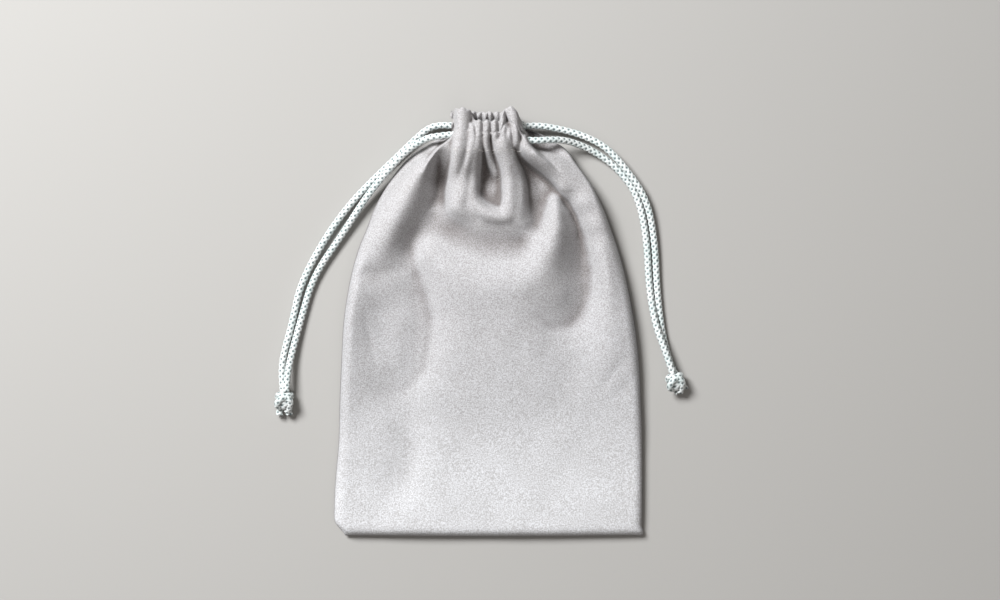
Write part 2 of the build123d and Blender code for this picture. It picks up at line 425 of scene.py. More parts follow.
FRONT_LEFT_EDGE = [
    (-86.0, -56.2), (-83.5, -57.4), (-79.6, -60.6), (-74.0, -60.9), (-63.0, -60.4), (-47.5, -59.1),
    (-31.7, -58.7), (-15.8, -58.0), (0.0, -57.1), (15.8, -54.6), (27.7, -51.4), (35.6, -48.2),
    (43.6, -45.2), (51.5, -41.0), (57.0, -37.4), (62.0, -33.4), (66.0, -29.2), (68.5, -25.8),
    (70.5, -22.2), (72.2, -18.4), (74.0, -15.0), (77.0, -13.6), (80.5, -14.1), (83.0, -13.6), (86.0, -12.6),
]
FRONT_RIGHT_EDGE = [
    (-86.0, 60.2), (-83.5, 61.2), (-81.0, 60.6), (-75.0, 60.8), (-47.5, 60.8), (-31.7, 60.3),
    (-15.8, 59.5), (0.0, 57.6), (15.8, 54.6), (27.7, 51.4), (35.6, 48.7), (43.6, 45.7),
    (51.5, 41.8), (57.0, 38.2), (62.0, 34.6), (65.0, 32.6), (67.5, 30.4), (69.6, 27.8),
    (72.0, 24.2), (73.8, 21.2), (75.0, 18.2), (76.0, 15.4), (78.0, 13.9), (81.0, 12.7), (84.3, 10.6),
    (86.0, 9.4),
]
BACK_LEFT_EDGE = [(y, x + BACK_INSET) for y, x in FRONT_LEFT_EDGE if y < 70] + [
    (70.5, -21.8), (72.5, -17.8), (74.5, -14.8), (77.0, -12.2), (80.0, -11.2), (83.0, -10.8), (86.0, -10.6),
]
BACK_RIGHT_EDGE = [(y, x - BACK_INSET) for y, x in FRONT_RIGHT_EDGE if y < 73] + [
    (73.8, 20.4), (75.0, 17.6), (76.4, 14.4), (79.0, 11.0), (82.0, 9.8), (84.3, 9.2), (86.0, 8.8),
]
CASING_LEFT_SIDE = [
    (50.0, -30.0), (60.0, -26.0), (64.0, -23.6), (67.0, -21.0), (69.0, -18.6), (71.0, -16.6), (73.0, -15.0),
    (76.0, -13.9), (80.0, -14.2), (90.0, -13.8),
]
CASING_RIGHT_SIDE = [
    (50.0, 34.0), (60.0, 26.0), (64.0, 21.6), (66.5, 19.4), (69.0, 17.6), (71.0, 16.4), (73.0, 15.4),
    (76.0, 14.5), (80.0, 13.4), (90.0, 12.0),
]

# The front cloth's crests, floors and flats, each a line of (x, y, height).
LANDFORM = [
    # inside the left edge
    [(-57.0, -78.0, 5.0), (-56.5, -60.0, 5.6), (-56.0, -45.0, 6.2), (-55.4, -30.0, 7.2),
     (-54.4, -15.0, 8.6),
     (-53.2, -4.0, 9.4), (-51.8, 6.0, 9.8), (-50.4, 14.0, 9.6), (-49.2, 20.0, 9.0), (-47.4, 28.0, 8.6)],
    # the band outside the left shoulder, and the shoulder's crest
    [(-45.8, 37.5, 6.6), (-42.2, 45.0, 6.0), (-38.4, 51.5, 5.7), (-34.2, 57.5, 5.6), (-29.8, 62.6, 5.6),
     (-25.2, 66.8, 5.7), (-20.6, 70.2, 6.0)],
    [(-49.6, 24.6, 9.0), (-43.4, 26.6, 9.4), (-38.8, 31.0, 10.0), (-36.0, 37.0, 11.4), (-33.0, 44.0, 12.8),
     (-29.8, 51.0, 13.4), (-26.8, 57.0, 13.4), (-24.0, 62.0, 12.8), (-20.6, 66.6, 11.4)],
    # the shoulder's foot, and the valley beside it
    [(-31.6, 23.0, 3.6), (-31.0, 29.0, 3.2), (-28.6, 34.0, 3.6), (-24.8, 37.4, 3.7), (-20.8, 41.0, 3.4),
     (-19.8, 47.0, 3.2), (-19.7, 54.0, 4.0), (-19.6, 60.0, 5.4), (-19.5, 64.0, 7.4)],
    # the fold across the left edge, and the falls below it
    [(-49.5, 17.0, 8.0), (-44.0, 15.6, 6.6), (-38.0, 15.6, 5.4), (-32.0, 17.0, 4.0)],
    [(-46.4, 10.8, 8.0), (-42.4, 10.6, 6.4), (-36.0, 10.8, 4.4)],
    [(-43.6, 3.6, 6.2), (-38.0, 1.4, 4.8), (-32.0, 0.0, 3.7)],
    [(-47.2, 2.0, 7.4), (-46.2, -8.0, 6.4), (-44.8, -18.0, 5.5)],
    [(-42.0, -4.0, 5.2), (-41.0, -14.0, 4.8)],
    [(-36.0, -6.0, 4.3), (-36.0, -16.0, 4.0)],
    [(-40.0, -28.0, 3.4), (-32.0, -26.5, 2.9), (-26.6, -19.0, 2.5), (-24.6, -9.0, 2.4), (-24.2, 1.0, 2.5),
     (-25.6, 10.0, 2.8), (-28.2, 18.0, 3.2), (-30.0, 26.0, 3.3)],
    # the belly: its left flank, its crest, which runs up into the ridge on the right, and its slope below
    [(-25.0, 24.0, 7.6), (-21.6, 13.0, 6.6), (-19.0, 2.0, 5.8), (-18.4, -9.0, 5.2), (-20.2, -20.0, 4.6),
     (-26.0, -31.0, 4.2)],
    [(-23.5, 28.0, 8.2), (-16.0, 20.0, 10.6), (-6.0, 16.0, 12.0), (6.0, 13.5, 12.6), (14.5, 14.5, 12.8),
     (21.0, 20.0, 13.0), (25.2, 27.5, 13.0), (26.9, 35.0, 12.6), (27.1, 42.0, 11.2), (26.4, 47.0, 8.4)],
    [(-10.0, 4.0, 9.4), (2.0, 4.0, 10.8), (12.0, 4.0, 10.9)],
    [(-8.0, -8.0, 7.8), (6.0, -8.0, 8.9), (18.0, -8.0, 8.6)],
    [(-10.0, -24.0, 6.0), (6.0, -24.0, 6.6), (20.0, -24.0, 6.5)],
    [(-14.0, -40.0, 4.7), (5.0, -42.0, 4.8), (25.0, -44.0, 4.9), (42.0, -44.0, 5.0)],
    # the floor of the trough under the lobes, and of the pocket to their right
    [(-20.0, 37.6, 3.9), (-16.0, 36.0, 4.8), (-12.6, 34.0, 5.8),
     (-8.0, 32.4, 6.8), (-3.0, 31.8, 7.4), (2.0, 31.4, 7.6), (8.0, 30.8, 7.6), (13.0, 31.2, 7.2)],
    [(18.4, 37.0, 6.4), (20.2, 41.6, 4.6), (21.8, 46.4, 3.2), (22.6, 50.0, 2.7)],
    [(17.4, 45.0, 4.4), (18.0, 50.0, 3.6), (17.4, 55.0, 3.2)],
    [(12.8, 61.6, 3.6), (16.6, 59.2, 2.8), (20.2, 56.2, 2.6), (23.6, 52.8, 2.6)],
    # the lip of the lobes
    [(-15.0, 43.4, 8.6), (-8.0, 42.4, 10.6), (-1.0, 40.8, 11.8), (6.0, 40.0, 11.8), (11.6, 41.0, 10.8),
     (14.4, 38.0, 10.0), (16.0, 34.0, 8.6)],
    # the long right valley's floor, its foot, and the crest beyond
    [(23.5, -3.2, 7.4), (29.5, -2.4, 5.6), (34.0, -0.6, 4.2), (37.2, 5.4, 3.4), (39.0, 12.0, 3.0),
     (39.4, 20.0, 2.8), (38.4, 27.0, 2.8), (36.8, 34.0, 2.8), (34.0, 41.0, 3.0), (30.6, 46.6, 3.4)],
    [(46.0, -34.0, 6.0), (46.6, -22.0, 7.2), (46.8, -8.0, 8.4), (47.0, 6.0, 9.2), (46.4, 18.0, 9.2),
     (44.6, 28.0, 8.6), (41.8, 37.0, 8.0), (37.8, 46.0, 7.6), (32.0, 54.0, 7.2)],
    [(18.6, 64.2, 6.6), (23.0, 61.4, 6.8), (27.6, 57.4, 7.0), (31.4, 53.0, 7.0)],
    [(17.0, 9.0, 11.0), (24.0, 4.0, 8.2), (29.0, 10.0, 8.0)],
    [(30.5, -12.0, 6.4), (31.5, -24.0, 5.6)],
    # inside the right edge, up to the flap beside the casing
    [(57.0, -78.0, 5.0), (57.6, -50.0, 5.4), (56.6, -30.0, 6.2), (55.6, -15.0, 7.2), (54.0, 0.0, 8.2),
     (51.6, 12.0, 8.6), (48.8, 23.0, 8.4), (45.6, 34.0, 8.0), (41.6, 44.0, 7.8), (36.8, 53.0, 7.6),
     (32.4, 60.0, 7.4), (28.6, 65.0, 6.6), (25.0, 69.0, 5.6), (20.5, 72.5, 5.2), (17.0, 74.5, 5.2)],
    [(24.0, 64.6, 6.2), (21.0, 68.0, 5.2)],
    # the floor inside the lobes
    [(-13.0, 59.0, 8.2), (-12.6, 63.0, 8.0), (-11.0, 68.0, 7.0)],
    [(-2.2, 63.0, 3.8), (-2.0, 58.0, 3.8), (-0.4, 54.0, 5.0), (1.2, 50.0, 6.4), (2.2, 47.0, 7.4)],
    [(8.0, 60.0, 6.0), (9.0, 50.0, 6.4)],
    # the casing
    [(-16.0, 74.0, 6.0), (-8.0, 76.0, 6.0), (0.0, 74.0, 6.0), (8.0, 76.0, 6.0), (14.0, 74.0, 6.0)],
    [(-14.0, 88.0, 6.0), (0.0, 86.0, 6.0), (12.0, 88.0, 6.0)],
    # the flat lower part, with a shallow trough on its left
    [(-48.0, -40.0, 5.8), (-48.0, -52.0, 5.6), (-48.0, -64.0, 5.2)],
    [(-39.0, -40.0, 4.6), (-39.0, -56.0, 4.2)],
    [(-31.0, -37.0, 3.2), (-31.0, -48.0, 3.0), (-31.8, -60.0, 3.2), (-34.0, -68.0, 3.8)],
    [(-24.0, -42.0, 4.6), (-24.0, -60.0, 4.8)],
    [(0.0, -58.0, 4.8), (25.0, -60.0, 4.8), (45.0, -60.0, 5.0)],
    [(-40.0, -78.0, 5.2), (-15.0, -76.0, 5.4), (10.0, -78.0, 5.4), (38.0, -76.0, 5.3)],
]

# A stroke's nodes are (x, y, height, width on the left, width on the right) along the walk.
NECK_PLEATS = [
    # the big left pleat, down to its rounded end
    [(-10.2, 88.0, 3.6, 3.6, 4.0), (-10.2, 80.0, 4.0, 3.6, 3.8), (-10.2, 75.0, 4.4, 3.6, 3.4),
     (-10.6, 70.5, 4.8, 4.4, 3.2), (-11.2, 66.5, 5.0, 6.2, 2.8), (-11.9, 62.0, 5.6, 6.4, 2.7),
     (-12.5, 57.0, 6.4, 6.6, 3.4), (-12.8, 52.0, 6.6, 6.8, 4.4), (-12.4, 47.6, 5.6, 6.8, 5.0),
     (-11.0, 44.0, 3.8, 6.0, 5.2), (-7.4, 41.4, 1.6, 5.0, 5.0), (-4.4, 39.6, 0.0, 4.0, 4.6)],
    # a short one that starts below the mouth and leans left to join it
    [(-6.0, 77.0, 0.0, 1.3, 1.2), (-6.0, 75.4, 4.4, 1.7, 1.6), (-6.0, 70.0, 5.2, 2.2, 2.0),
     (-6.3, 65.5, 5.6, 2.6, 2.2), (-7.1, 61.6, 6.2, 2.6, 2.6), (-8.2, 58.0, 6.8, 3.0, 3.0),
     (-9.2, 54.0, 7.0, 3.6, 4.4), (-9.6, 50.0, 6.0, 4.2, 4.8), (-9.2, 46.6, 3.4, 4.0, 4.6),
     (-9.0, 44.0, 0.0, 3.6, 4.4)],
    # its neighbour, which turns right at its foot and becomes the lip of the pocket
    [(-3.7, 84.0, 4.0, 1.8, 1.6), (-3.6, 75.0, 4.7, 1.85, 1.6), (-3.9, 69.0, 5.0, 2.0, 1.7),
     (-4.5, 64.0, 5.6, 2.4, 1.9), (-5.2, 59.0, 6.4, 2.8, 2.3), (-5.9, 54.0, 6.6, 3.2, 2.7),
     (-6.2, 49.6, 5.6, 3.4, 3.4), (-4.4, 45.8, 3.8, 3.0, 4.0), (-0.8, 42.8, 3.0, 2.8, 4.0),
     (3.4, 41.4, 2.8, 2.8, 4.0), (7.0, 41.4, 2.6, 3.0, 4.0)],
    # a thin one, which runs on down inside the pocket
    [(-0.5, 84.0, 3.8, 1.7, 1.7), (-0.5, 75.0, 4.5, 1.8, 1.7), (-0.8, 69.5, 4.2, 1.7, 1.6),
     (-0.1, 65.4, 3.4, 1.5, 1.5), (1.1, 61.6, 2.6, 1.5, 1.8), (2.8, 58.0, 1.8, 1.4, 1.8),
     (4.0, 55.6, 0.0, 1.2, 1.6)],
    # two short ones
    [(2.4, 84.0, 3.8, 1.5, 1.5), (2.5, 76.0, 4.3, 1.45, 1.45), (2.6, 71.4, 4.4, 1.7, 1.5),
     (3.2, 68.0, 3.0, 2.0, 1.6)],
    [(5.2, 84.0, 3.8, 1.7, 1.6), (5.5, 77.0, 4.4, 1.7, 1.6), (6.1, 72.0, 4.5, 1.8, 2.0),
     (6.6, 68.0, 3.4, 2.4, 2.2)],
    [(7.6, 77.0, 0.0, 1.2, 1.2), (8.0, 74.0, 3.4, 1.4, 1.3), (8.2, 71.4, 4.2, 1.5, 1.5),
     (8.4, 68.0, 2.0, 1.6, 1.4)],
    # the lobe that they make below the stitches, and its lower right side
    [(4.2, 73.0, 0.0, 2.6, 2.4), (4.5, 70.0, 3.6, 3.4, 2.9), (4.9, 67.6, 4.8, 4.0, 3.2),
     (6.1, 64.0, 5.0, 4.6, 3.2),
     (7.4, 60.0, 5.6, 4.6, 3.2), (8.2, 56.0, 6.8, 5.0, 3.4), (8.4, 52.0, 7.2, 5.4, 3.5),
     (8.4, 48.0, 6.4, 5.6, 3.5), (8.0, 44.6, 4.4, 5.4, 3.4), (7.6, 41.6, 2.4, 4.4, 3.2),
     (7.4, 39.0, 0.0, 4.0, 3.0)],
    [(8.6, 66.0, 2.0, 1.8, 4.0), (9.8, 62.0, 4.6, 2.3, 4.4), (11.6, 57.0, 5.8, 3.0, 4.8),
     (12.3, 52.0, 5.8, 3.4, 5.0), (12.6, 47.0, 4.8, 3.4, 5.0), (13.2, 43.0, 2.6, 3.2, 4.6),
     (14.0, 39.6, 0.4, 3.0, 4.0)],
    # the right pleat, and the casing's right side, which turns out along the shoulder
    [(8.4, 90.0, 3.6, 3.0, 3.0), (9.0, 82.0, 4.2, 3.0, 2.8), (10.2, 77.0, 4.8, 2.2, 2.0),
     (11.0, 72.0, 4.8, 1.6, 1.7), (11.2, 68.6, 3.6, 1.4, 1.5), (11.2, 66.4, 0.0, 1.2, 1.3)],
    [(12.4, 81.0, 0.0, 1.4, 1.4), (13.4, 77.0, 3.0, 1.4, 1.5), (14.2, 73.0, 3.6, 2.0, 1.4),
     (14.2, 69.6, 4.2, 3.2, 1.6), (14.2, 66.4, 5.0, 4.4, 1.8), (16.8, 63.0, 6.0, 6.4, 1.7),
     (20.9, 59.7, 6.2, 8.6, 1.7), (25.5, 55.7, 5.8, 10.6, 1.8), (30.3, 50.8, 5.0, 11.6, 2.0),
     (34.9, 45.8, 4.0, 11.4, 2.6), (39.0, 39.0, 3.2, 10.4, 3.8), (41.6, 31.0, 2.4, 9.0, 4.8),
     (43.4, 20.0, 1.4, 8.0, 5.6), (43.6, 8.0, 0.2, 8.0, 6.0)],
]

# Crisp lines along some of the floors.
BODY_CREASES = [
    [(-29.6, 33.0, 0.0, 3.0, 1.6), (-25.0, 42.0, -0.5, 3.0, 1.8), (-20.6, 48.0, -0.8, 2.4, 1.6),
     (-19.6, 56.0, -0.9, 2.2, 1.4), (-19.3, 63.0, -0.8, 2.0, 1.2), (-19.6, 67.0, 0.0, 1.6, 1.2)],
    [(14.0, 30.0, 0.0, 2.4, 2.0), (18.6, 36.4, -0.2, 2.6, 1.8), (21.4, 42.0, -0.5, 3.0, 1.8),
     (24.0, 50.0, -0.6, 3.0, 1.8), (25.0, 54.0, 0.0, 2.4, 1.8)],
    [(20.0, -3.4, 0.0, 4.0, 1.8), (26.0, -3.2, -0.5, 4.0, 1.8), (32.0, -1.8, -0.8, 4.0, 1.8),
     (36.2, 2.6, -0.9, 4.0, 1.8), (38.6, 9.0, -0.9, 4.0, 1.8), (40.0, 17.0, -0.9, 4.0, 1.8),
     (39.4, 24.0, -1.0, 4.0, 1.7), (37.9, 31.0, -1.0, 4.0, 1.6), (35.4, 38.6, -0.9, 3.6, 1.5),
     (32.0, 45.0, -0.6, 3.0, 1.4), (28.6, 49.8, 0.0, 2.4, 1.4)],
    [(-51.5, 20.6, 0.0, 1.4, 1.6), (-47.0, 19.4, -0.4, 2.0, 2.0), (-41.0, 19.0, -0.5, 2.4, 2.4),
     (-35.0, 19.6, -0.3, 2.4, 2.4), (-31.0, 21.0, 0.0, 2.4, 2.4)],
    [(-48.0, 9.6, 0.0, 1.4, 1.6), (-45.0, 7.2, -0.2, 1.8, 2.2), (-41.4, 3.6, -0.3, 2.0, 2.6),
     (-36.0, 0.5, 0.0, 2.0, 2.6)],
    [(-40.0, -29.0, 0.0, 4.0, 2.0), (-31.4, -26.4, -0.4, 4.0, 2.0), (-26.4, -19.4, -0.5, 4.0, 1.9),
     (-24.6, -9.0, -0.6, 4.0, 1.8), (-24.2, 2.0, -0.6, 4.0, 1.8), (-25.8, 10.0, -0.5, 4.0, 1.8),
     (-28.4, 18.0, -0.5, 4.0, 1.8), (-30.0, 26.0, -0.4, 4.0, 1.8), (-29.6, 34.0, 0.0, 3.0, 1.8)],
    [(-43.0, -21.0, 0.0, 2.4, 1.2), (-44.8, -15.0, -0.4, 2.6, 1.2), (-46.4, -7.0, -0.5, 2.6, 1.2),
     (-47.8, 0.0, -0.3, 2.4, 1.2), (-48.4, 4.0, 0.0, 2.0, 1.2)],
    [(17.0, 4.0, 0.0, 1.4, 1.4), (20.4, 0.8, -0.5, 1.5, 1.5), (24.6, -3.2, -0.4, 1.5, 1.5),
     (26.5, -5.5, 0.0, 1.4, 1.4)],
    # the deep gap under the right fold
    [(10.4, 68.0, 0.0, 1.0, 0.9), (10.9, 65.6, -1.6, 1.0, 1.0), (12.6, 62.6, -2.4, 1.0, 1.6),
     (16.0, 60.2, -2.6, 0.9, 2.4), (20.0, 57.0, -2.4, 0.9, 2.6), (24.4, 52.8, -2.0, 0.9, 2.4),
     (28.0, 49.2, -1.4, 0.9, 2.0), (31.6, 44.8, -0.6, 0.9, 2.0), (34.0, 41.0, 0.0, 0.9, 2.0)],
    # the line between the left shoulder and the band outside it
    [(-48.2, 34.0, 0.0, 1.2, 1.6), (-43.8, 43.0, -0.5, 1.4, 1.8), (-38.4, 51.4, -0.6, 1.6, 2.0),
     (-33.6, 57.4, -0.7, 1.6, 2.2), (-28.8, 62.4, -0.8, 1.6, 2.2), (-24.0, 66.0, -0.7, 1.6, 2.0),
     (-20.4, 68.6, 0.0, 1.4, 1.6)],
    # short diagonals low on the right
    [(42.0, -29.0, 0.0, 2.2, 1.6), (46.4, -24.8, -0.4, 3.0, 1.6), (51.0, -18.6, -0.4, 3.0, 1.6),
     (55.5, -13.5, 0.0, 2.2, 1.6)],
    [(47.0, -33.0, 0.0, 2.4, 2.4), (51.5, -28.6, -0.3, 2.4, 3.2), (57.0, -22.6, -0.3, 2.4, 3.2),
     (60.0, -19.0, 0.0, 2.2, 2.4)],
]


def ripple(x, y):
    """The cloth's slight unevenness."""
    waves = [
        (0.17, 0.09, 0.4, 0.09), (-0.08, 0.21, 2.1, 0.08), (0.29, -0.17, 4.0, 0.05),
        (0.13, 0.34, 1.2, 0.04), (-0.41, 0.23, 5.2, 0.03), (0.52, 0.31, 3.3, 0.02),
    ]
    return sum(size * np.sin(along * x + up * y + start) for along, up, start, size in waves)


def top_line(x):
    """The frilled top edge of the front casing, with a hump at each side."""
    left_hump = 4.9 * np.exp(-(np.abs(x + 10.4) / 4.6) ** 5)
    right_hump = 5.3 * np.exp(-(np.abs(x - 8.6) / 3.3) ** 4)
    return FRILL_Y + left_hump + right_hump + 0.35 * np.cos(2 * math.pi * (x + 0.5) / 3.1)


def casing_rise(x, y):
    """The casing stands up between its two sides and fades out below the stitches."""
    inside = np.minimum(x - edge_at(y, CASING_LEFT_SIDE), edge_at(y, CASING_RIGHT_SIDE) - x)
    return CASING_RISE * ease(inside, 0, 2.4) * ease(y, 54, 68)


def front_height(x, y, left, right):
    """The front cloth's upper face."""
    height = smooth_land(x, y, LANDFORM) + casing_rise(x, y)
    height += pleats(x, y, NECK_PLEATS) + creases(x, y, BODY_CREASES)
    height = np.maximum(height + ripple(x, y), LOWEST_FRONT)
    narrowing = 1 - NECK_EDGE_NARROWING * ease(y, 36, 56)
    from_left = (x - left) / (LEFT_EDGE_ROUND * narrowing)
    from_right = (right - x) / (RIGHT_EDGE_ROUND * narrowing)
    inward = np.minimum(np.minimum(from_left, from_right), (y - BOTTOM_Y) / BOTTOM_EDGE_ROUND)
    rise = np.sqrt(1 - (1 - np.clip(inward, 0, 1)) ** 2)
    foot = SEAM_HEIGHT + CASING_FOOT * ease(y, 72, 77)
    return foot + (height - foot) * rise


def soften(grid, passes):
    """Each point's height moves towards its neighbours' a few times."""
    z = grid[:, :, 2]
    for _ in range(passes):
        z[1:-1] = 0.5 * z[1:-1] + 0.25 * (z[:-2] + z[2:])
        z[:, 1:-1] = 0.5 * z[:, 1:-1] + 0.25 * (z[:, :-2] + z[:, 2:])


def turned_hem(rim, hem_z, inner_z, narrowing):
    """Rows that take a cloth over its top edge and down the other side of its casing.

    The hem starts at hem_z and eases to inner_z, and draws in its two ends by the narrowing's share.
    """
    middle = (rim[:, 2] + hem_z) / 2
    half = (rim[:, 2] - hem_z) / 2
    rows = []
    for step in range(1, FOLD_ROWS + 1):
        angle = math.pi * step / FOLD_ROWS
        rows.append(np.stack([rim[:, 0], rim[:, 1] + TOP_CURL * math.sin(angle),
                              middle + half * math.cos(angle)], axis=-1))
    for step in range(1, HEM_ROWS + 1):
        share = step / HEM_ROWS
        rows.append(np.stack([rim[:, 0] * (1 - narrowing * ease(share, 0, 0.3)),
                              rim[:, 1] + (CASING_Y - rim[:, 1]) * share,
                              hem_z + (inner_z - hem_z) * ease(share, 0, 0.35)], axis=-1))
    return np.array(rows)


def row_heights(rows, lower_share, top_y):
    """The y of every row, from the bottom edge up, with its lower share below the neck."""
    lower = int(rows * lower_share)
    return np.concatenate([np.linspace(BOTTOM_Y, NECK_Y, lower, endpoint=False),
                           np.linspace(NECK_Y, top_y, rows - lower)])


def spread_rows(heights, columns, left_edge, right_edge):
    """Points in rows at the given heights, spread from one edge to the other, closer near the edges."""
    share = np.linspace(-1, 1, columns)
    share = (0.72 * share + 0.28 * np.sin(share * math.pi / 2) + 1) / 2
    y = np.repeat(heights[:, None], columns, axis=1)
    left = edge_at(y, left_edge)
    right = edge_at(y, right_edge)
    return left + (right - left) * share, y


def bottom_bow(x, y):
    """The bottom edge bows down a little in its middle."""
    return 0.5 * (1 - (x / 60) ** 2) * (1 - ease(y, -85, -70))


def local_mean(z, reach):
    """The mean height over a square of grid points around each one."""
    count = 2 * reach + 1
    for _ in range(2):
        total = np.cumsum(np.pad(z, ((reach + 1, reach), (0, 0)), mode="edge"), axis=0)
        z = ((total[count:] - total[:-count]) / count).T
    return z


def hollows(grid):
    """How far down in a fold each point lies, from 0 to 1, judged at two sizes of fold; the velour paints
    shade by it.
    """
    z = grid[:, :, 2]
    depth = np.full(z.shape, -0.12)
    for share, (reach, deep) in ((0.6, HOLLOW_NEAR), (0.4, HOLLOW_FAR)):
        depth += share * (local_mean(local_mean(z, reach), reach) - z) / deep
    return np.clip(depth, 0, 1)


def shade_smooth(mesh):
    mesh.polygons.foreach_set("use_smooth", [True] * len(mesh.polygons))


def cloth_object(name, grid, material, outside):
    """A sheet from a grid of points, thickened above them (outside 1) or below them (-1)."""
    rows, columns, _ = grid.shape
    index = np.arange(rows * columns).reshape(rows, columns)
    corners = np.stack([index[:-1, :-1], index[:-1, 1:], index[1:, 1:], index[1:, :-1]], axis=-1)
    mesh = bpy.data.meshes.new(name)
    mesh.from_pydata((grid.reshape(-1, 3) * MM).tolist(), [], corners.reshape(-1, 4).tolist())
    shade_smooth(mesh)
    # how deep each point lies in a fold, which the velour's colour paints as shade
    depth = mesh.attributes.new("hollow", "FLOAT", "POINT")
    depth.data.foreach_set("value", hollows(grid).ravel().astype(np.float32))
    mesh.materials.append(material)
    sheet = linked(name, mesh)
    solidify = sheet.modifiers.new("thickness", "SOLIDIFY")
    solidify.thickness = CLOTH_THICKNESS * MM
    solidify.offset = outside
    solidify.use_even_offset = False
    return sheet


def front_grid():
    """The front cloth: up the body, over the frilled top and down inside as the casing's hem."""
    heights = row_heights(FRONT_ROWS, FRONT_LOWER_SHARE, FRONT_TOP_Y)
    x, y = spread_rows(heights, FRONT_COLUMNS, FRONT_LEFT_EDGE, FRONT_RIGHT_EDGE)
    y = y + (top_line(x) - FRONT_TOP_Y) * ease(y, 66, FRONT_TOP_Y)
    left = edge_at(y, FRONT_LEFT_EDGE)
    right = edge_at(y, FRONT_RIGHT_EDGE)
    x = np.clip(x, left, right)
    z = front_height(x, y, left, right)
    outer = np.stack([x, y - bottom_bow(x, y), z], axis=-1)
    soften(outer, SOFTENING)
    rim = outer[-1]
    hem_z = FRONT_HEM_Z + 0.08 * (rim[:, 2] - 11.0)
    return np.concatenate([outer, turned_hem(rim, hem_z, hem_z, 0.3)])


def back_grid():
    """The back cloth, flat on the table, its casing turned over on the upper side."""
    heights = row_heights(BACK_ROWS, BACK_LOWER_SHARE, BACK_TOP_Y)
    x, y = spread_rows(heights, BACK_COLUMNS, BACK_LEFT_EDGE, BACK_RIGHT_EDGE)
    left = edge_at(y, BACK_LEFT_EDGE)
    right = edge_at(y, BACK_RIGHT_EDGE)
    inward = np.minimum(np.minimum(x - left, right - x), (y - BOTTOM_Y) * 1.4)
    curl = (1 - np.clip(inward / 3.5, 0, 1)) ** 2
    z = BACK_Z + (SEAM_HEIGHT - CLOTH_THICKNESS) * curl
    outer = np.stack([x, y - bottom_bow(x, y), z], axis=-1)
    rim = outer[-1]
    along = rim[:, 0]
    gathers = 1.7 * np.abs(np.sin(math.pi * (along + 2.4) / 2.3)) + 0.7 * np.cos(2 * math.pi * along / 5.9)
    humps = 1.5 * np.exp(-((along + 10.4) / 2.8) ** 2) + 1.5 * np.exp(-((along - 9.4) / 2.6) ** 2)
    rim[:, 1] += 0.7 * np.abs(np.sin(math.pi * (along + 1.1) / 2.9))
    return np.concatenate([outer, turned_hem(rim, BACK_HEM_Z + gathers + humps, BACK_HEM_INNER_Z, 0.0)])


def new_curve(name, kind, lines):
    """A curve with one spline of the kind for each line of points in mm."""
    data = bpy.data.curves.new(name, "CURVE")
    data.dimensions = "3D"
    for line in lines:
        spline = data.splines.new(kind)
        spline.points.add(len(line) - 1)
        for place, point in zip(spline.points, line):
            place.co = (point[0] * MM, point[1] * MM, point[2] * MM, 1)
    return data


def curve_to_mesh(data):
    """The mesh that a curve makes. The curve itself is removed."""
    holder = bpy.data.objects.new(data.name, data)
    mesh = bpy.data.meshes.new_from_object(holder)
    bpy.data.objects.remove(holder)
    bpy.data.curves.remove(data)
    return mesh


def threads_object(name, lines, radius, material):
    """Thin threads, each through its own points in mm."""
    data = new_curve(name, "POLY", lines)
    data.bevel_depth = radius * MM
    data.bevel_resolution = 2
    data.use_fill_caps = True
    mesh = curve_to_mesh(data)
    mesh.materials.clear()
    mesh.materials.append(material)
    shade_smooth(mesh)
    return linked(name, mesh)


def surface_height(grid, x, y):
    """The z of the grid's point that is nearest to (x, y)."""
    nearest = np.argmin((grid[..., 0] - x) ** 2 + (grid[..., 1] - y) ** 2)
    return grid[..., 2].flat[nearest]


def casing_stitches(name, grid, side, material):
    """A row of short stitches across the casing, sunk in the nap, that dip into the cloth at both ends.

    The side is 1 for stitches on the grid's upper face, and -1 for stitches just inside its lower one.
    """
    lines = []
    for number in range(STITCH_COUNT):
        start = -STITCH_SPAN / 2 + number * STITCH_SPAN / STITCH_COUNT
        line = []
        for share in (0.0, 0.12, 0.35, 0.6, 0.83, 0.95):
            x = start + share * STITCH_LENGTH
            y = CASING_Y + 0.25 * math.sin(0.9 * x)
            sunk = STITCH_DIP if share in (0.0, 0.95) else STITCH_SUNK
            line.append((x, y, surface_height(grid, x, y) - side * sunk))
        lines.append(line)
    return threads_object(name, lines, STITCH_RADIUS, material)


def loose_fibres(grid, material):
    """A few long fibres that have worked loose from the nap, from (x, y, heading)."""
    starts = [
        (3.4, 55.2, 0.1), (4.6, 56.2, 2.2), (5.6, 54.6, -0.4), (24.0, 64.2, 1.0), (25.2, 62.6, 0.5),
        (20.6, 65.0, 2.4), (1.2, 64.6, 0.9), (-2.6, 45.0, 0.3), (8.6, 57.6, 2.8),
    ]
    lines = []
    for number, (x, y, heading) in enumerate(starts):
        line = []
        for step in range(9):
            lift = 0.12 + 0.5 * math.sin(math.pi * step / 8)
            line.append((x, y, surface_height(grid, x, y) + lift))
            heading += 0.22 * math.sin(1.7 * number + 0.5)
            x += FIBRE_STEP * math.cos(heading)
            y += FIBRE_STEP * math.sin(heading)
        lines.append(line)
    return threads_object("loose_fibres", lines, FIBRE_RADIUS, material)


# ======== Cords ========

